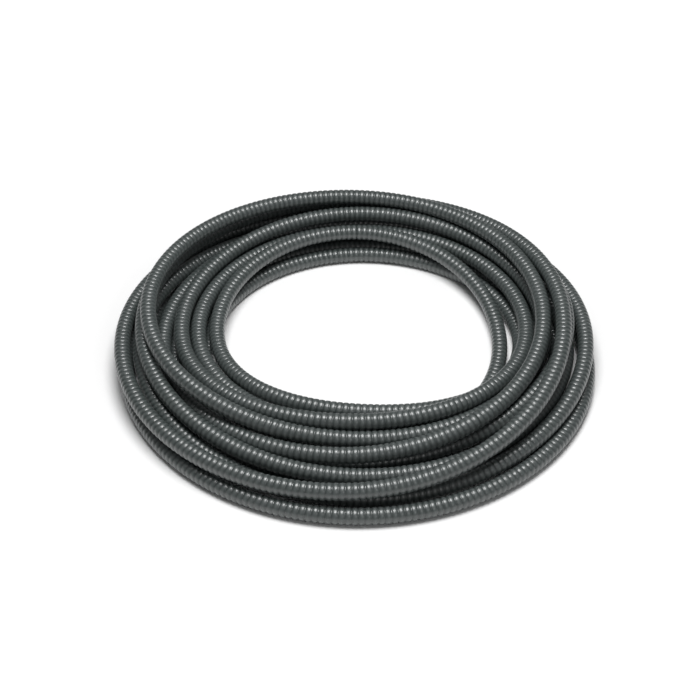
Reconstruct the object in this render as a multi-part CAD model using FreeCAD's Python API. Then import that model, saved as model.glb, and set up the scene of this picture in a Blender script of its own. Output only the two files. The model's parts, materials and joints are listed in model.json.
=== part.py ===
"""A long ribbed hose, laid down in one loose coil.

The hose is one piece.  It is modelled as three solids that meet face to face: the wound coil, and its two
ends, which carry the ribs.  The bore runs through all three.  The coil lies flat: +Z is up, the origin is
on the ground at the middle of the coil, and lengths are in millimetres.

The route is chosen in hose diameters, as a radius and a height at four points of each turn.  The turns are
then settled: they grow from a thin line to their full thickness while they sink, and push each other aside
until none touches.  The hose follows two tangent arcs in each quarter turn.
"""
import FreeCAD
import Part
import math
import os

V = FreeCAD.Vector
UP = V(0, 0, 1)

# The sizes of the hose and its coil.  Each becomes a named cell of the document's spreadsheet.
SIZES = (
    ("bore_diameter", 20.0, "inside diameter"),
    ("wall", 1.2, "thickness of the wall under a groove"),
    ("rib_pitch", 9.0, "distance from one rib to the next"),
    ("rib_crest", 5.4, "length of a rib's crest along the hose"),
    ("rib_flank", 1.0, "length of a rib's sloping side along the hose"),
    ("rib_height", 1.3, "depth of the groove between two ribs"),
    ("coil_radius", 303.0, "radius of the middle of the coil, at the hose's centreline"),
    ("turn_gap", 0.875, "space kept between turns that lie against each other"),
    ("ground_flat", 0.5, "depth of the flat where the hose lies on the ground"),
    ("end_ribs", 20.0, "number of ribs on each end"),
    ("outer_end_bend", 420.0, "radius of the outer end's bend"),
    ("inner_end_bend", 150.0, "radius of the inner end's bend"),
    ("hose_diameter", "=bore_diameter + 2 * (wall + rib_height)", "outside diameter over the ribs"),
)
LEAST_GAP = 0.4           # the least gap between turns, measured along the whole hose
MORE_ROOM = 0.25          # added to turn_gap each time the turns are laid again

# Radius and height in hose diameters at the left, front, right and back of each turn.  The first pair is
# the quarter turn where the outer end lies, and the last is the one where the inner end lies.
QUARTERS = (
    (14.9, 0.5),
    (14.6, 0.5), (15.2, 0.5), (13.6, 0.5), (12.8, 1.2),
    (13.5, 0.9), (13.6, 0.5), (14.0, 1.4), (14.2, 0.5),
    (12.6, 0.5), (12.4, 0.5), (12.6, 0.5), (12.0, 0.5),
    (11.4, 0.5), (11.1, 0.5), (12.6, 2.2), (13.5, 1.4),
    (14.4, 1.5), (14.6, 1.0), (12.4, 2.4), (13.9, 2.4),
    (13.5, 1.2), (13.4, 1.8), (12.6, 1.2), (12.3, 1.3),
    (12.3, 1.4), (12.3, 2.1), (11.6, 2.8), (12.7, 2.6),
    (13.3, 2.4), (11.4, 2.2), (11.9, 1.4), (12.1, 1.9),
    (10.9, 1.5), (10.3, 2.4), (11.0, 1.4), (11.6, 1.5),
    (10.4, 1.9), (9.5, 2.8), (11.2, 0.6), (11.0, 0.5),
    (10.6, 0.5), (10.1, 0.5), (9.9, 1.5), (10.5, 1.4),
    (9.0, 1.1), (8.8, 2.0), (10.1, 0.5), (10.5, 0.5),
    (9.5, 0.5), (8.4, 0.5),
)
MIDDLE = 12.12            # the radius in QUARTERS that lies at coil_radius
UNEVEN = 35               # which small unevenness the turns take
SAMPLES = 12              # samples in a quarter turn


def plus(a, b, k=1.0):
    """a + k b, for points held as three numbers."""
    return (a[0]+k*b[0], a[1]+k*b[1], a[2]+k*b[2])


def dot(a, b):
    return a[0]*b[0]+a[1]*b[1]+a[2]*b[2]


def unit(a):
    return plus((0.0, 0.0, 0.0), a, 1.0/math.sqrt(dot(a, a)))


def stations(radii, heights):
    """The point and direction of the hose at each quarter of its turns, from the back of the first turn."""
    last = len(radii)-1
    found = []
    for i, (r, z) in enumerate(zip(radii, heights)):
        a, b = max(i-1, 0), min(i+1, last)
        dr = (radii[b]-radii[a])/(b-a)
        dz = (heights[b]-heights[a])/(b-a) if 1 < i < last-1 else 0.0
        c, s = ((0, 1), (-1, 0), (0, -1), (1, 0))[i % 4]
        turn = r*math.pi/2
        found.append(((r*c, r*s, z), unit((dr*c-turn*s, dr*s+turn*c, dz))))
    return found


def arc(start, along, end):
    """The arc that leaves start in a given direction and passes through end: its middle point, its radius,
    the two unit vectors it turns between and its angle."""
    chord = plus(end, start, -1.0)
    side = unit(plus(chord, along, -dot(chord, along)))
    radius = dot(chord, chord)/(2*dot(chord, side))
    middle = plus(start, side, radius)
    out = plus((0.0, 0.0, 0.0), side, -1.0)
    last = plus(end, middle, -1.0)
    return middle, radius, out, along, math.atan2(dot(last, along), dot(last, out))


def arc_point(curve, share):
    middle, radius, out, along, angle = curve
    a = angle*share
    return plus(plus(middle, out, radius*math.cos(a)), along, radius*math.sin(a))


def biarc(start, along, end, arriving):
    """Two arcs that join two points with given directions and share a tangent where they meet."""
    v = plus(end, start, -1.0)
    both = plus(along, arriving)
    spread = 2*(1-dot(along, arriving))
    reach = (-dot(v, both)+math.sqrt(dot(v, both)**2+spread*dot(v, v)))/spread
    joint = plus(plus(start, v, 0.5), plus(along, arriving, -1.0), reach/2)
    tangent = unit(plus(plus(end, arriving, -reach), plus(start, along, reach), -1.0))
    return arc(start, along, joint), arc(joint, tangent, end)


def arcs(places, run):
    """The two arcs of each quarter turn.  The hose runs straight for a given length on both sides of the
    two places where its ends meet the coil."""
    joints = (1, len(places)-2)
    found = []
    for i, ((p, t), (q, u)) in enumerate(zip(places, places[1:])):
        if i in joints:
            p = plus(p, t, run)
        if i+1 in joints:
            q = plus(q, u, -run)
        found.append(biarc(p, t, q, u))
    return found


def cubic_profile(radii, heights):
    """Radius and height at even angles along the turns, on a smooth curve through the quarters."""
    last = len(radii)-1
    sr, sz = [], []
    for i in range(last*SAMPLES+1):
        q, k = divmod(i, SAMPLES)
        near = [min(max(q+j-1, 0), last) for j in range(4)]
        w = WEIGHTS[k]
        sr.append(sum(radii[j]*f for j, f in zip(near, w)))
        sz.append(sum(heights[j]*f for j, f in zip(near, w)))
    return sr, sz


def arc_profile(radii, heights):
    """Radius and height at the same angles on the arcs themselves."""
    sr, sz = [], []
    places = stations(radii, heights)
    for q, (one, two) in enumerate(arcs(places, 1.0)):
        points = [places[q][0]] if q in (1, len(radii)-2) else []
        points += [arc_point(one, k/6) for k in range(6)]
        points += [arc_point(two, k/6) for k in range(7)]
        if q+1 in (1, len(radii)-2):
            points.append(places[q+1][0])
        c, s = ((0, 1), (-1, 0), (0, -1), (1, 0))[q % 4]
        angles = [math.atan2(y*c-x*s, x*c+y*s) for x, y, z in points]
        at = 0
        for k in range(SAMPLES):
            wanted = math.pi/2*k/SAMPLES
            while at < len(points)-2 and angles[at+1] < wanted:
                at += 1
            f = (wanted-angles[at])/(angles[at+1]-angles[at])
            a, b = points[at], points[at+1]
            ra, rb = math.hypot(a[0], a[1]), math.hypot(b[0], b[1])
            sr.append(ra+f*(rb-ra))
            sz.append(a[2]+f*(b[2]-a[2]))
    sr.append(radii[-1])
    sz.append(heights[-1])
    return sr, sz


def cubic_weights(t):
    """Weights of four points in a row on a smooth curve, a share t of the way between the middle two."""
    return ((-t+2*t*t-t**3)/2, (2-5*t*t+3*t**3)/2, (t+4*t*t-3*t**3)/2, (t**3-t*t)/2)


WEIGHTS = [cubic_weights(k/SAMPLES) for k in range(SAMPLES)]


def uneven(i, seed):
    """Two steady but unordered numbers between -1 and 1 for quarter i."""
    a = math.sin(12.9898*i+78.233*seed)*43758.5453
    b = math.sin(39.3468*i+11.135*seed)*24634.6345
    return 2*(a-math.floor(a))-1, 2*(b-math.floor(b))-1


def push_apart(sr, sz, gap, floor):
    """How far each sample must move so that turns at the same angle lie a gap apart, above the floor."""
    size = len(sr)
    pr = [0.0]*size
    pz = [max(floor-h, 0.0) for h in sz]
    for shift in range(4*SAMPLES, size, 4*SAMPLES):
        for i in range(size-shift):
            dr = sr[i+shift]-sr[i]
            if dr >= gap or dr <= -gap:
                continue
            dz = sz[i+shift]-sz[i]
            far = dr*dr+dz*dz
            if far < gap*gap:
                far = math.sqrt(far)+1e-9
                f = 0.5*(gap-far)/far
                pr[i+shift] += dr*f
                pr[i] -= dr*f
                pz[i+shift] += dz*f
                pz[i] -= dz*f
    return pr, pz


def shared_out(pushes, count):
    """The samples' moves, shared out to the quarters that shape them."""
    total = [0.0]*count
    weight = [0.5]*count
    for i, a in enumerate(pushes):
        if a:
            q, k = divmod(i, SAMPLES)
            for j, w in enumerate(WEIGHTS[k]):
                n = min(max(q+j-1, 0), count-1)
                total[n] += w*a
                weight[n] += abs(w)
    return [max(-0.15, min(0.15, 1.6*a/b)) for a, b in zip(total, weight)]


def settle(quarters, gap, floor, seed, rounds=560, finish=200):
    """Lay the turns: let them sink and grow to their thickness, then part what still touches."""
    count = len(quarters)
    home, z = [], []
    for i, (a, b) in enumerate(quarters):
        u, v = uneven(i, seed)
        home.append(a+0.2*u)
        z.append(max(b+0.35*v, floor))
    r = list(home)
    for step in range(rounds+finish):
        if step < rounds:
            thick = min(gap, 0.5+(gap-0.5)*step/(0.85*rounds))
            r = [a+0.1*(b-a) for a, b in zip(r, home)]
            z = [max(a-0.012, floor) for a in z]
            sr, sz = cubic_profile(r, z)
        else:
            thick = gap
            sr, sz = arc_profile(r, z)
        pr, pz = push_apart(sr, sz, thick, floor)
        r = [a+b for a, b in zip(r, shared_out(pr, count))]
        z = [max(a+b, floor) for a, b in zip(z, shared_out(pz, count))]
        z[:2] = z[-2:] = [floor, floor]
    return r, z


# ---------------------------------------------------------------- the document
def named_sizes(doc):
    """The spreadsheet that drives the model, and its values by name."""
    sheet = doc.addObject("Spreadsheet::Sheet", "Sizes")
    for row, (name, value, note) in enumerate(SIZES, start=1):
        sheet.set("A%d" % row, name)
        sheet.set("B%d" % row, str(value))
        sheet.set("C%d" % row, note)
        sheet.setAlias("B%d" % row, name)
    doc.recompute()
    return {name: float(sheet.get(name)) for name, _, _ in SIZES}


def laid_turns(size, room):
    """The settled turns with some room between them, as radii and heights in millimetres at each quarter."""
    d = size["hose_diameter"]
    shift = size["coil_radius"]/d-MIDDLE
    quarters = [(r+shift, z) for r, z in QUARTERS]
    floor = 0.5-size["ground_flat"]/d
    radii, heights = settle(quarters, 1+room/d, floor, UNEVEN)
    return [r*d for r in radii], [z*d for z in heights]


def vector(p):
    return V(*p)


def arc_edge(curve):
    return Part.Arc(*[vector(arc_point(curve, share)) for share in (0.0, 0.5, 1.0)]).toShape()


def ring(place, along, radius):
    """A circle square to the hose, whose X axis stays upright."""
    circle = Part.Circle(place, along, radius)
    circle.XAxis = (UP-along*UP.dot(along)).normalize()
    return Part.Wire([circle.toShape()])


def pipe(path, place, along, radius):
    """A round bar along a path of lines and tangent arcs."""
    sweep = Part.BRepOffsetAPI.MakePipeShell(path)
    sweep.add(ring(place, along, radius))
    sweep.build()
    sweep.makeSolid()
    return sweep.shape()


def below_ground(size):
    """A slab under the ground plane, which takes the flat off the hose."""
    reach = 2*size["coil_radius"]
    depth = size["hose_diameter"]
    return Part.makeBox(2*reach, 2*reach, depth, V(-reach, -reach, -depth))


def bored(bar, core):
    """A bar with a core taken out from end to end: both skins and a flat rim at each end."""
    rims = []
    inside = [f for f in core.Faces if not isinstance(f.Surface, Part.Plane)]
    outside = list(bar.Faces)
    for cap in [f for f in core.Faces if isinstance(f.Surface, Part.Plane)]:
        around = min((f for f in outside if isinstance(f.Surface, Part.Plane)),
                     key=lambda f: (f.CenterOfMass-cap.CenterOfMass).Length)
        outside = [f for f in outside if not f.isSame(around)]
        rim = Part.makeFace([around.OuterWire, cap.OuterWire], "Part::FaceMakerBullseye")
        if rim.normalAt(0, 0).dot(around.normalAt(0, 0)) < 0:
            rim = rim.reversed()
        rims.append(rim)
    return Part.Solid(Part.Shell(outside+[f.reversed() for f in inside]+rims))


# ---------------------------------------------------------------- the three solids
def coil_shape(size, curves, first, last):
    """The wound part of the hose, with one straight diameter at each end."""
    d = size["hose_diameter"]
    (start, leaving), (end, arriving) = first, last
    edges = [Part.makeLine(start, start+leaving*d)]
    edges += [arc_edge(curve) for curve in curves]
    edges.append(Part.makeLine(end-arriving*d, end))
    path = Part.Wire(edges)
    bar = pipe(path, start, leaving, d/2)
    core = pipe(path, start, leaving, size["bore_diameter"]/2)
    print("coil path %.0f mm, bar volume over section times length %.6f"
          % (path.Length, bar.Volume/(math.pi*d*d/4*path.Length)))
    bar = bar.cut(below_ground(size)).Solids[0]
    return bored(bar, core)


def end_route(size, place, along, bend, side):
    """The route of a ribbed end: a straight diameter, a level bend and a straight diameter.  Returns its
    edges and a function that gives the point and direction at any distance along it."""
    d = size["hose_diameter"]
    length = size["end_ribs"]*size["rib_pitch"]
    inward = UP.cross(along)*side
    begin = place+along*d
    middle = begin+inward*bend
    angle = (length-2*d)/bend

    def at(distance):
        if distance <= d:
            return place+along*distance, along
        turned = min((distance-d)/bend, angle)
        point = middle-inward*(bend*math.cos(turned))+along*(bend*math.sin(turned))
        heading = along*math.cos(turned)+inward*math.sin(turned)
        return point+heading*max(distance-d-angle*bend, 0.0), heading

    half, done = at(d+angle*bend/2)[0], at(length-d)[0]
    edges = [Part.makeLine(place, begin), Part.Arc(begin, half, done).toShape(),
             Part.makeLine(done, at(length)[0])]
    return edges, at


def laid_hose(size, room):
    """The whole hose's route: the coil's arcs, where its first and last turns end, and the ends' routes."""
    places = stations(*laid_turns(size, room))
    curves = [curve for pair in arcs(places, size["hose_diameter"])[1:-1] for curve in pair]
    first, last = [tuple(vector(v) for v in places[i]) for i in (1, -2)]
    ends = (end_route(size, first[0], first[1]*-1, size["outer_end_bend"], -1),
            end_route(size, last[0], last[1], size["inner_end_bend"], 1))
    return curves, first, last, ends


def end_shape(size, edges, at):
    """A ribbed end: one ruled loft through four circles for each rib, less the bore and the ground."""
    crest = size["hose_diameter"]/2
    root = crest-size["rib_height"]
    flank = size["rib_flank"]
    ribs = int(size["end_ribs"])
    rings = [ring(*at(0.0), crest)]
    for k in range(ribs):
        begin = k*size["rib_pitch"]+size["rib_crest"]/2
        valley = size["rib_pitch"]-size["rib_crest"]-2*flank
        for distance, radius in ((0.0, crest), (flank, root), (flank+valley, root), (2*flank+valley, crest)):
            rings.append(ring(*at(begin+distance), radius))
    rings.append(ring(*at(ribs*size["rib_pitch"]), crest))
    bar = Part.makeLoft(rings, True, True)
    core = pipe(Part.Wire(edges), *at(0.0), size["bore_diameter"]/2)
    return bar.cut(core).cut(below_ground(size)).Solids[0]


def add_part(doc, name, shape, offset):
    part = doc.addObject("Part::Feature", name)
    part.Label = name
    part.Shape = shape
    part.Placement = FreeCAD.Placement(offset, FreeCAD.Rotation())
    return part


# ---------------------------------------------------------------- measuring
def least_gap(points, apart):
    """The least distance between points of one line that lie further than apart from each other along it."""
    cell = 1.2*apart
    boxes = {}
    for i, (p, s) in enumerate(points):
        boxes.setdefault((int(p[0]//cell), int(p[1]//cell), int(p[2]//cell)), []).append(i)
    least = 1e9
    for (a, b, c), members in boxes.items():
        near = []
        for da in (-1, 0, 1):
            for db in (-1, 0, 1):
                for dc in (-1, 0, 1):
                    near.extend(boxes.get((a+da, b+db, c+dc), ()))
        for i in members:
            p, s = points[i]
            for j in near:
                q, t = points[j]
                if j > i and abs(s-t) > 3*apart:
                    far = (p[0]-q[0])**2+(p[1]-q[1])**2+(p[2]-q[2])**2
                    if far < least:
                        least = far
    return math.sqrt(least)


def hose_points(size, curves, tips):
    """Points every few millimetres along the whole hose, with their distance along it."""
    step = 0.12*size["hose_diameter"]
    line = []
    length = size["end_ribs"]*size["rib_pitch"]
    count = int(length/step)
    line += [tuple(tips[0](length*k/count)[0]) for k in range(count, 0, -1)]
    for curve in curves:
        count = max(int(abs(curve[1]*curve[4])/step), 1)
        line += [arc_point(curve, k/count) for k in range(count)]
    count = int(length/step)
    line += [tuple(tips[1](length*k/count)[0]) for k in range(1, count+1)]
    points, gone = [], 0.0
    for i, p in enumerate(line):
        if i:
            gone += math.dist(p, line[i-1])
        points.append((p, gone))
    return points


def to_middle(points):
    """The step that brings the middle of the coil, seen from above, to the origin."""
    across = [p[0] for p, _ in points]
    along = [p[1] for p, _ in points]
    return V(-(min(across)+max(across))/2, -(min(along)+max(along))/2, 0)


def main():
    doc = FreeCAD.newDocument("hose")
    size = named_sizes(doc)
    d = size["hose_diameter"]
    gap, room = 0.0, size["turn_gap"]
    while gap <= LEAST_GAP and room < size["turn_gap"]+8*MORE_ROOM:
        curves, first, last, (outer_route, inner_route) = laid_hose(size, room)
        points = hose_points(size, curves, (outer_route[1], inner_route[1]))
        gap = least_gap(points, d)-d
        print("laid with %.2f mm between turns: least gap %.2f mm" % (room, gap))
        room += MORE_ROOM

    bends = [curve[1] for curve in curves]
    print("turns %.2f, bend radii from %.0f to %.0f mm" % (len(curves)/8, min(bends), max(bends)))

    offset = to_middle(points)
    for name, shape in (("hose_coil", coil_shape(size, curves, first, last)),
                        ("hose_outer_end", end_shape(size, *outer_route)),
                        ("hose_inner_end", end_shape(size, *inner_route))):
        add_part(doc, name, shape, offset)
    doc.recompute()

    print("hose length %.0f mm, least gap between turns %.2f mm" % (points[-1][1], gap))
    length = size["end_ribs"]*size["rib_pitch"]
    for name, (_, at) in (("outer", outer_route), ("inner", inner_route)):
        tip, heading = at(length)
        print(name, "tip", [round(c, 3) for c in tip+offset], [round(c, 4) for c in heading])

    parts = [o for o in doc.Objects if o.TypeId == "Part::Feature"]
    for obj in doc.Objects:
        if "Invalid" in obj.State or "Error" in obj.State:
            raise RuntimeError("%s failed: %s" % (obj.Name, obj.State))
    for part in parts:
        shape = part.Shape
        if shape.isNull() or not shape.isValid() or shape.Volume <= 0:
            raise RuntimeError("%s has no valid solid" % part.Label)
        box = shape.BoundBox
        print("%-16s volume %10.0f  x %.1f %.1f  y %.1f %.1f  z %.1f %.1f" % (
            part.Label, shape.Volume, box.XMin, box.XMax, box.YMin, box.YMax, box.ZMin, box.ZMax))
    if gap <= LEAST_GAP:
        raise RuntimeError("turns touch: least gap %.2f mm" % gap)
    os.makedirs("parts", exist_ok=True)
    for part in parts:
        part.Shape.exportStep("parts/%s.step" % part.Label)


main()
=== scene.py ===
"""A long ribbed hose, laid down in one loose coil: its looks.

The hose follows one smooth spline from its outer tip to its inner tip.  A smooth liner with the bore in it
runs the whole way, and the ribs are on a jacket over it, made one turn at a time.  Lengths are in metres.
"""
import json
import math

import bpy
import numpy as np
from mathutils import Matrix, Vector


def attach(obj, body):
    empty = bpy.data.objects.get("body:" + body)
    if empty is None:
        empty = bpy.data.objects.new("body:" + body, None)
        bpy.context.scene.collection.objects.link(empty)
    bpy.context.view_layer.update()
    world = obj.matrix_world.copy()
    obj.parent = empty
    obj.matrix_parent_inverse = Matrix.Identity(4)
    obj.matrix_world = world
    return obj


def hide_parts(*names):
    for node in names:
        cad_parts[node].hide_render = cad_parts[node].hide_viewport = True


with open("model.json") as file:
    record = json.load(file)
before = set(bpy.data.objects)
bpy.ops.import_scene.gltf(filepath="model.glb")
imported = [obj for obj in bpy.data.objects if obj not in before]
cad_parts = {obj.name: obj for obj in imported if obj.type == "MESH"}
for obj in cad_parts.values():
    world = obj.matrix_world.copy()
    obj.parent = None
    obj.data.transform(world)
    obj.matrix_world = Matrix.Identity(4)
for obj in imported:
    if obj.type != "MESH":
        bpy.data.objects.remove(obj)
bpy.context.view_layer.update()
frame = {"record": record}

# ---------------------------------------------------------------- sizes of the hose and its coil
DIAMETER = 0.025           # over the ribs
BORE = 0.020
PITCH = 0.009              # from one rib to the next
RIB_HEIGHT = 0.0013
COIL_RADIUS = 0.303        # middle of the coil, at the hose's centreline
TURN_GAP = 0.000875
GROUND_FLAT = 0.0005
END_REACH = 2.32*DIAMETER  # how far the two free points of an end lie from the coil and from the tip
END_RIBS = 20              # ribs on each end
TURNS = 12                 # turns between the two ends, each with a jacket of its own
SIDES = 18                 # points around the hose

# Radius and height in hose diameters at the left, front, right and back of each turn.  The first pair is
# the quarter turn where the outer end lies, and the last is the one where the inner end lies.
QUARTERS = (
    (14.9, 0.5),
    (14.6, 0.5), (15.2, 0.5), (13.6, 0.5), (12.8, 1.2),
    (13.5, 0.9), (13.6, 0.5), (14.0, 1.4), (14.2, 0.5),
    (12.6, 0.5), (12.4, 0.5), (12.6, 0.5), (12.0, 0.5),
    (11.4, 0.5), (11.1, 0.5), (12.6, 2.2), (13.5, 1.4),
    (14.4, 1.5), (14.6, 1.0), (12.4, 2.4), (13.9, 2.4),
    (13.5, 1.2), (13.4, 1.8), (12.6, 1.2), (12.3, 1.3),
    (12.3, 1.4), (12.3, 2.1), (11.6, 2.8), (12.7, 2.6),
    (13.3, 2.4), (11.4, 2.2), (11.9, 1.4), (12.1, 1.9),
    (10.9, 1.5), (10.3, 2.4), (11.0, 1.4), (11.6, 1.5),
    (10.4, 1.9), (9.5, 2.8), (11.2, 0.6), (11.0, 0.5),
    (10.6, 0.5), (10.1, 0.5), (9.9, 1.5), (10.5, 1.4),
    (9.0, 1.1), (8.8, 2.0), (10.1, 0.5), (10.5, 0.5),
    (9.5, 0.5), (8.4, 0.5),
)
MIDDLE = 12.12             # the radius in QUARTERS that lies at COIL_RADIUS
UNEVEN = 35                # which small unevenness the turns take
SAMPLES = 12               # samples in a quarter turn
STRIDE = 2                 # samples from one point of the spline to the next: 24 points a turn

# How the turns are laid, in hose diameters.
UNEVEN_RADIUS = 0.2        # most that a quarter starts off its radius
UNEVEN_HEIGHT = 0.35       # most that it starts off its height
THIN = 0.5                 # thickness of the hose when the laying starts
GROWN = 0.85               # share of the rounds after which it has its full thickness
HOMING = 0.1               # share of its way back to its radius that a quarter goes in a round
SINKING = 0.012            # how far it sinks in a round
EAGER = 1.6                # how much further it is pushed than the mean of its samples
MOST = 0.15                # most that it is pushed in a round

# The outside of the hose and its cut ends.
OUTSIDE = DIAMETER/2
GROOVE = OUTSIDE-RIB_HEIGHT
LINER = GROOVE-0.0001      # outside radius of the liner, just under the grooves
CUT_EDGE = 0.0003          # the small round on the edges of a cut end
CUT_SHARE = 0.8            # share of a rib's height that its cut edge keeps

# One rib, from the middle of a groove to the next: share of the pitch, and share of the rib's height.
RIB = np.array([(0.0, 0.0), (0.10, 0.40), (0.22, 0.86), (0.50, 1.0), (0.78, 0.86), (0.90, 0.40)])

# ---------------------------------------------------------------- looks: colours are linear
TONE_DARK, TONE_LIGHT = (0.033, 0.043, 0.041, 1), (0.045, 0.055, 0.054, 1)
# Paler colour on the crests: rubbed wear, and also a painted highlight along each crest.
RUBBED_AND_HIGHLIGHT = (0.105, 0.118, 0.116, 1)
# Darker colour in the grooves: painted shade.
GROOVE_SHADE = (0.018, 0.022, 0.021, 1)
FLOOR_COLOUR = (0.90, 0.90, 0.90, 1)
WHITE = (1, 1, 1, 1)
FLOOR_HALF = 6.0           # from the middle of the floor to its sides
LIFT_FROM, LIFT_TO = 0.40, 1.1   # distances from the coil's middle between which the floor turns white
LIFT = 0.85                # light that the camera sees added to the floor there
SKY_LIGHT, SKY_SEEN = 0.15, 1.0  # strength of the sky as a light, and as the camera sees it

# Name, place, width and watts.
LAMPS = (("overhead", (0.0, -0.15, 2.0), 1.25, 44.0), ("front", (0.9, -2.0, 1.4), 0.9, 4.0))

LENS, SENSOR = 72.0, 36.0  # in millimetres
AIM = Vector((-0.0077, 0.0108, 0))
RISE = math.radians(38)    # how steeply the camera looks down
FAR = 2.229                # from the camera to what it looks at


# ---------------------------------------------------------------- the route
def uneven(count, seed):
    """Two steady but unordered numbers between -1 and 1 for each quarter: the far digits of a sine."""
    i = np.arange(count)
    a = np.sin(12.9898*i+78.233*seed)*43758.5453
    b = np.sin(39.3468*i+11.135*seed)*24634.6345
    return 2*(a-np.floor(a))-1, 2*(b-np.floor(b))-1


def smooth_between(count):
    """The weights of the quarters at each sample: a cubic through the two quarters beside the sample, whose
    slope at a quarter is half the difference of the quarters on either side of it."""
    sample = np.arange((count-1)*SAMPLES+1)
    quarter, t = sample//SAMPLES, sample % SAMPLES/SAMPLES
    shares = ((-t+2*t*t-t**3)/2, (2-5*t*t+3*t**3)/2, (t+4*t*t-3*t**3)/2, (t**3-t*t)/2)
    weights = np.zeros((len(sample), count))
    for step, share in enumerate(shares):
        np.add.at(weights, (sample, np.clip(quarter+step-1, 0, count-1)), share)
    return weights


def push_apart(r, z, gap, floor):
    """How far each sample must move so that turns at the same angle lie a gap apart, above the floor."""
    push_r, push_z = np.zeros_like(r), np.maximum(floor-z, 0)
    turn = 4*SAMPLES
    for shift in range(turn, len(r), turn):
        dr, dz = r[shift:]-r[:-shift], z[shift:]-z[:-shift]
        far = np.hypot(dr, dz)+1e-9
        share = 0.5*np.maximum(gap-far, 0)/far
        push_r[shift:] += dr*share
        push_r[:-shift] -= dr*share
        push_z[shift:] += dz*share
        push_z[:-shift] -= dz*share
    return push_r, push_z


def shared_out(push, weights):
    """The samples' moves, shared out to the quarters that shape them."""
    total = weights.T@push
    weight = np.abs(weights).T@(push != 0)+0.5
    return np.clip(EAGER*total/weight, -MOST, MOST)


def settle(quarters, gap, floor, seed, rounds=560, finish=200):
    """Lay the turns: let them sink and grow to their thickness, then part what still touches."""
    quarters = np.array(quarters)
    weights = smooth_between(len(quarters))
    u, v = uneven(len(quarters), seed)
    home = quarters[:, 0]+UNEVEN_RADIUS*u
    r, z = home.copy(), np.maximum(quarters[:, 1]+UNEVEN_HEIGHT*v, floor)
    for step in range(rounds+finish):
        thick = gap
        if step < rounds:
            thick = min(gap, THIN+(gap-THIN)*step/(GROWN*rounds))
            r += HOMING*(home-r)
            z = np.maximum(z-SINKING, floor)
        push_r, push_z = push_apart(weights@r, weights@z, thick, floor)
        r += shared_out(push_r, weights)
        z = np.maximum(z+shared_out(push_z, weights), floor)
        z[:2] = z[-2:] = floor
    return weights@r, weights@z


def turns():
    """Points of the coil at even angles, from where the outer end leaves it to where the inner end does."""
    shift = COIL_RADIUS/DIAMETER-MIDDLE
    quarters = [(r+shift, z) for r, z in QUARTERS]
    floor = 0.5-GROUND_FLAT/DIAMETER
    r, z = settle(quarters, 1+TURN_GAP/DIAMETER, floor, UNEVEN)
    angle = math.pi/2*(1+np.arange(len(r))/SAMPLES)
    points = DIAMETER*np.stack([r*np.cos(angle), r*np.sin(angle), z], axis=1)
    points = points[SAMPLES:-SAMPLES:STRIDE]
    middle = (points.min(axis=0)+points.max(axis=0))/2
    return points-[middle[0], middle[1], 0]


def tip(mount):
    """Where the hose's end is cut, and which way it faces: half a bore's length outside its mount."""
    found = next(m for m in frame["record"]["mounts"] if m["name"] == mount)
    axis = np.array(found["axis"])
    return np.array(found["pos_m"])+axis*found["dims"]["length_mm"]/2000, axis


def unit(vector):
    return vector/np.linalg.norm(vector)


def route():
    """Control points of the hose's spline: an outer end, the turns and an inner end.  Each end has its tip
    and two free points, straight behind the tip and straight out of the turns.  A smooth curve runs inside
    its control points by an eighth of their second difference, so the turns' points are set out by as much."""
    coil = turns()
    (outer, outer_axis), (inner, inner_axis) = tip("outer_bore"), tip("inner_bore")
    points = np.vstack([
        outer, outer-outer_axis*END_REACH, coil[0]+unit(coil[0]-coil[1])*END_REACH,
        coil,
        coil[-1]+unit(coil[-1]-coil[-2])*END_REACH, inner-inner_axis*END_REACH, inner])
    control = points.copy()
    control[3:-3] -= (points[2:-4]-2*points[3:-3]+points[4:-2])/8
    return control


def spline_through(control):
    """The hose's line as points close together, read from the spline of these control points."""
    curve = bpy.data.curves.new("hose_line", "CURVE")
    curve.dimensions = "3D"
    spline = curve.splines.new("NURBS")
    spline.points.add(len(control)-1)
    spline.points.foreach_set("co", np.column_stack([control, np.ones(len(control))]).ravel())
    spline.order_u = 3
    spline.use_endpoint_u = True
    spline.resolution_u = 32
    holder = bpy.data.objects.new("hose_line", curve)
    mesh = bpy.data.meshes.new_from_object(holder)
    line = np.empty(3*len(mesh.vertices))
    mesh.vertices.foreach_get("co", line)
    bpy.data.objects.remove(holder)
    bpy.data.curves.remove(curve)
    bpy.data.meshes.remove(mesh)
    return line.reshape(-1, 3)


# ---------------------------------------------------------------- pieces along the hose
class Line:
    """The hose's centreline: points, the distance to each along it, and the direction there."""

    def __init__(self, points):
        step = np.linalg.norm(np.diff(points, axis=0), axis=1)
        keep = np.r_[True, step > 1e-7]
        self.points = points[keep]
        self.distance = np.r_[0, np.cumsum(step[step > 1e-7])]
        self.length = self.distance[-1]
        self.heading = np.gradient(self.points, self.distance, axis=0)

    def at(self, distance):
        """Place, side and up at given distances.  The side is level, and square to the hose."""
        place, heading = [np.stack([np.interp(distance, self.distance, column) for column in values.T], axis=1)
                          for values in (self.points, self.heading)]
        heading /= np.linalg.norm(heading, axis=1)[:, None]
        side = np.cross(heading, (0, 0, 1))
        side /= np.linalg.norm(side, axis=1)[:, None]
        return place, side, np.cross(side, heading)


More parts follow.
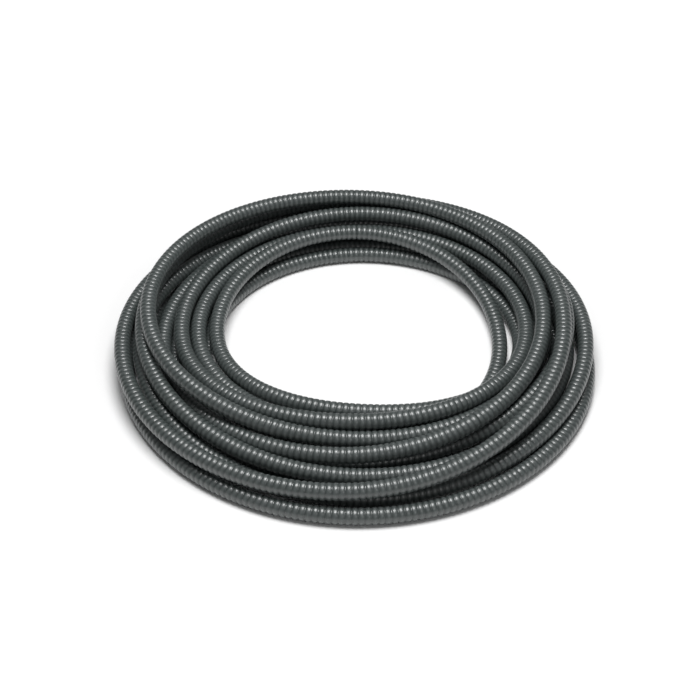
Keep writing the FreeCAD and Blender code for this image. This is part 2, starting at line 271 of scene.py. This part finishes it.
def wall(name, line, distance, radius, crest):
    """A closed wall round the hose's line.  Its section is a loop of distances and radii: along the outside
    and back along the inside.  A point is the line's place, plus the radius times the cosine of its angle to
    the side and the sine upwards, and no lower than the ground."""
    rows = len(distance)
    place, side, up = line.at(distance)
    angle = 2*math.pi*np.arange(SIDES)/SIDES
    cos, sin = np.cos(angle)[None, :, None], np.sin(angle)[None, :, None]
    grid = place[:, None]+radius[:, None, None]*(side[:, None]*cos+up[:, None]*sin)
    grid[..., 2] = np.maximum(grid[..., 2], 0)

    i, j = np.meshgrid(np.arange(rows), np.arange(SIDES), indexing="ij")
    after, beside = (i+1) % rows, (j+1) % SIDES
    faces = np.stack([i*SIDES+j, after*SIDES+j, after*SIDES+beside, i*SIDES+beside], axis=-1).reshape(-1, 4)
    mesh = bpy.data.meshes.new(name)
    mesh.vertices.add(rows*SIDES)
    mesh.vertices.foreach_set("co", grid.ravel())
    mesh.loops.add(faces.size)
    mesh.loops.foreach_set("vertex_index", faces.ravel())
    mesh.polygons.add(len(faces))
    mesh.polygons.foreach_set("loop_start", np.arange(0, faces.size, 4))
    mesh.update(calc_edges=True)
    rim = np.isclose(distance[i], distance[after]).ravel()     # the flat faces across the wall's two ends
    mesh.polygons.foreach_set("use_smooth", ~rim)

    along = np.stack([distance[i], distance[after], distance[after], distance[i]], axis=-1)/DIAMETER
    around = np.stack([j, j, j+1, j+1], axis=-1)/SIDES
    layer = mesh.uv_layers.new(name="hose")
    layer.data.foreach_set("uv", np.stack([along, around], axis=-1).ravel())
    # The crest share: it places the rubbed wear and the painted highlight on the crests, and the painted shade
    # in the grooves.
    wear_and_highlight = mesh.attributes.new("crest", "FLOAT", "POINT")
    wear_and_highlight.data.foreach_set("value", np.repeat(crest, SIDES))
    mesh.materials.append(hose_plastic())
    piece = bpy.data.objects.new(name, mesh)
    bpy.context.scene.collection.objects.link(piece)
    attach(piece, "root")
    return piece


def make_liner(line, pitch):
    """The smooth inside of the hose with its bore, from tip to tip."""
    outer = np.arange(1, round(line.length/pitch))*pitch
    inner = outer[::-2]
    tip_end, edge = line.length, CUT_EDGE
    distance = np.r_[0, edge, outer, tip_end-edge, tip_end, tip_end, tip_end-edge, inner, edge, 0]
    radius = np.r_[LINER-edge/2, LINER, np.full(len(outer), LINER), LINER, LINER-edge/2,
                   BORE/2+edge/2, BORE/2, np.full(len(inner), BORE/2), BORE/2, BORE/2+edge/2]
    return wall("hose_liner", line, distance, radius, np.zeros(len(distance)))


def make_jacket(name, line, pitch, first, last, at_tip):
    """The ribs from one groove to another.  The outside goes up to each crest and down to each groove, and
    the inside lies on the liner.  At a tip the hose is cut through the middle of a rib."""
    start = (np.arange(first, last)+0.5)*pitch
    distance = (start[:, None]+RIB[:, 0]*pitch).ravel()
    share = np.tile(RIB[:, 1], len(start))
    ends = [(first+0.5)*pitch, (last+0.5)*pitch]
    distance, share = np.r_[distance, ends[1]], np.r_[share, 0]
    if at_tip == "first":
        ends[0] = 0
        keep = distance > CUT_EDGE
        distance, share = np.r_[0, CUT_EDGE, distance[keep]], np.r_[CUT_SHARE, 1, share[keep]]
    if at_tip == "last":
        ends[1] = line.length
        keep = distance < line.length-CUT_EDGE
        distance = np.r_[distance[keep], line.length-CUT_EDGE, line.length]
        share = np.r_[share[keep], 1, CUT_SHARE]
    inner = np.linspace(ends[1], ends[0], max((last-first)//2, 2))
    radius = np.r_[GROOVE+RIB_HEIGHT*share, np.full(len(inner), LINER)]
    return wall(name, line, np.r_[distance, inner], radius, np.r_[share, np.zeros(len(inner))])


# ---------------------------------------------------------------- the material
def node(tree, kind, at, **values):
    """A shader node with its inputs set by name, with underscores for spaces."""
    made = tree.nodes.new(kind)
    made.location = at
    for name, value in values.items():
        made.inputs[name.replace("_", " ")].default_value = value
    return made


def hose_plastic():
    """Dark grey soft plastic: cloudy in colour, rubbed paler on the crests with a painted highlight along them,
    and darkened in the grooves by painted shade.
    """
    material = bpy.data.materials.get("hose_plastic")
    if material:
        return material
    material = bpy.data.materials.new("hose_plastic")
    material.use_nodes = True
    tree = material.node_tree
    link = tree.links.new
    shader = tree.nodes["Principled BSDF"]
    shader.inputs["IOR"].default_value = 1.6
    shader.inputs["Coat Weight"].default_value = 0.7
    shader.inputs["Coat Roughness"].default_value = 0.24
    place = node(tree, "ShaderNodeTexCoord", (-1500, 0))

    clouds = node(tree, "ShaderNodeTexNoise", (-1250, 250), Scale=9.0, Detail=3.0, Roughness=0.55)
    link(place.outputs["Object"], clouds.inputs["Vector"])
    tone = node(tree, "ShaderNodeValToRGB", (-1000, 250))
    for stop, position, colour in zip(tone.color_ramp.elements, (0.36, 0.64), (TONE_DARK, TONE_LIGHT)):
        stop.position = position
        stop.color = colour
    link(clouds.outputs["Fac"], tone.inputs["Fac"])

    crest = node(tree, "ShaderNodeAttribute", (-1500, -300))
    crest.attribute_name = "crest"
    # Painted highlight and rubbed wear: the top of each crest is mixed, in specks, towards a paler colour.
    crest_rub_and_highlight = node(tree, "ShaderNodeMapRange", (-1250, -300), From_Min=0.80, From_Max=1.0)
    link(crest.outputs["Fac"], crest_rub_and_highlight.inputs["Value"])
    specks = node(tree, "ShaderNodeTexNoise", (-1250, -50), Scale=420.0, Detail=2.0)
    link(place.outputs["Object"], specks.inputs["Vector"])
    rub_and_highlight_share = node(tree, "ShaderNodeMath", (-1000, -150))
    rub_and_highlight_share.operation = "MULTIPLY"
    link(crest_rub_and_highlight.outputs["Result"], rub_and_highlight_share.inputs[0])
    link(specks.outputs["Fac"], rub_and_highlight_share.inputs[1])
    wear_and_highlight = node(tree, "ShaderNodeMix", (-700, 200))
    wear_and_highlight.data_type = "RGBA"
    wear_and_highlight.inputs["B"].default_value = RUBBED_AND_HIGHLIGHT
    link(rub_and_highlight_share.outputs["Value"], wear_and_highlight.inputs["Factor"])
    link(tone.outputs["Color"], wear_and_highlight.inputs["A"])

    # Painted shade: the grooves, and the liner that has no crest, are darkened towards the groove colour.
    groove_shade_share = node(tree, "ShaderNodeMapRange", (-1000, -400), From_Max=0.4, To_Min=0.55, To_Max=0.0)
    link(crest.outputs["Fac"], groove_shade_share.inputs["Value"])
    groove_shade_mix = node(tree, "ShaderNodeMix", (-450, 200))
    groove_shade_mix.data_type = "RGBA"
    groove_shade_mix.inputs["B"].default_value = GROOVE_SHADE
    link(groove_shade_share.outputs["Result"], groove_shade_mix.inputs["Factor"])
    link(wear_and_highlight.outputs["Result"], groove_shade_mix.inputs["A"])
    link(groove_shade_mix.outputs["Result"], shader.inputs["Base Color"])

    patches = node(tree, "ShaderNodeTexNoise", (-1000, -650), Scale=55.0, Detail=3.0)
    link(place.outputs["Object"], patches.inputs["Vector"])
    gloss = node(tree, "ShaderNodeMapRange", (-700, -400), From_Min=0.3, From_Max=0.7, To_Min=0.38, To_Max=0.50)
    link(patches.outputs["Fac"], gloss.inputs["Value"])
    link(gloss.outputs["Result"], shader.inputs["Roughness"])

    grain = node(tree, "ShaderNodeBump", (-450, -400), Strength=0.25, Distance=0.0001)
    link(specks.outputs["Fac"], grain.inputs["Height"])
    link(grain.outputs["Normal"], shader.inputs["Normal"])
    return material


# ---------------------------------------------------------------- the hose
def make_hose():
    """The liner, and a jacket for each end and each turn."""
    line = Line(spline_through(route()))
    ribs = round(line.length/PITCH)
    pitch = line.length/ribs
    liner = make_liner(line, pitch)
    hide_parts("hose_coil")
    outer = make_jacket("hose_outer_ribs", line, pitch, 0, END_RIBS, "first")
    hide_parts("hose_outer_end")
    inner = make_jacket("hose_inner_ribs", line, pitch, ribs-END_RIBS, ribs, "last")
    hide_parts("hose_inner_end")
    marks = np.linspace(END_RIBS, ribs-END_RIBS, TURNS+1).round().astype(int)
    coil = [make_jacket("hose_ribs_turn_%d" % (k+1), line, pitch, a, b, None)
            for k, (a, b) in enumerate(zip(marks, marks[1:]))]
    print("hose line %.3f m, %d ribs of %.3f mm" % (line.length, ribs, pitch*1000))


# ---------------------------------------------------------------- floor, light and camera
def make_floor():
    """A pale level floor.  Away from the hose, where the lamps are weak, the camera sees it lifted to white."""
    mesh = bpy.data.meshes.new("floor")
    corners = [(x*FLOOR_HALF, y*FLOOR_HALF, 0) for x, y in ((-1, -1), (1, -1), (1, 1), (-1, 1))]
    mesh.from_pydata(corners, [], [(0, 1, 2, 3)])
    floor = bpy.data.objects.new("floor", mesh)
    bpy.context.scene.collection.objects.link(floor)
    material = bpy.data.materials.new("pale_floor")
    material.use_nodes = True
    tree = material.node_tree
    shader = tree.nodes["Principled BSDF"]
    shader.inputs["Base Color"].default_value = FLOOR_COLOUR
    shader.inputs["Roughness"].default_value = 0.9
    shader.inputs["Specular IOR Level"].default_value = 0.0
    shader.inputs["Emission Color"].default_value = WHITE
    place = node(tree, "ShaderNodeTexCoord", (-1200, -300))
    away = node(tree, "ShaderNodeVectorMath", (-1000, -300))
    away.operation = "LENGTH"
    tree.links.new(place.outputs["Object"], away.inputs[0])
    lift = node(tree, "ShaderNodeMapRange", (-800, -300),
                From_Min=LIFT_FROM, From_Max=LIFT_TO, To_Min=0.0, To_Max=LIFT)
    tree.links.new(away.outputs["Value"], lift.inputs["Value"])
    rays = node(tree, "ShaderNodeLightPath", (-800, -600))
    seen = node(tree, "ShaderNodeMath", (-400, -300))
    seen.operation = "MULTIPLY"
    tree.links.new(rays.outputs["Is Camera Ray"], seen.inputs[0])
    tree.links.new(lift.outputs["Result"], seen.inputs[1])
    tree.links.new(seen.outputs["Value"], shader.inputs["Emission Strength"])
    mesh.materials.append(material)


def make_light():
    """A wide soft lamp overhead, a weaker one in front, and an even pale sky that looks white."""
    for name, place, size, power in LAMPS:
        lamp = bpy.data.lights.new(name, "AREA")
        lamp.shape = "DISK"
        lamp.size = size
        lamp.energy = power
        holder = bpy.data.objects.new(name, lamp)
        holder.location = place
        holder.rotation_euler = (-Vector(place)).to_track_quat("-Z", "Y").to_euler()
        bpy.context.scene.collection.objects.link(holder)
    world = bpy.data.worlds.new("pale_sky")
    world.use_nodes = True
    tree = world.node_tree
    sky = tree.nodes["Background"]
    rays = node(tree, "ShaderNodeLightPath", (-900, 0))
    seen = node(tree, "ShaderNodeMapRange", (-400, 0), To_Min=SKY_LIGHT, To_Max=SKY_SEEN)
    tree.links.new(rays.outputs["Is Camera Ray"], seen.inputs["Value"])
    tree.links.new(seen.outputs["Result"], sky.inputs["Strength"])
    sky.inputs["Color"].default_value = WHITE
    bpy.context.scene.world = world


def make_camera():
    """A camera that looks down on the coil from the front."""
    camera = bpy.data.cameras.new("camera")
    camera.lens = LENS
    camera.sensor_width = SENSOR
    holder = bpy.data.objects.new("camera", camera)
    holder.location = AIM+Vector((0, -FAR*math.cos(RISE), FAR*math.sin(RISE)))
    holder.rotation_euler = (math.pi/2-RISE, 0, 0)
    bpy.context.scene.collection.objects.link(holder)
    bpy.context.scene.camera = holder


make_camera()
make_hose()
make_floor()
make_light()
bpy.context.scene.view_settings.view_transform = "Standard"
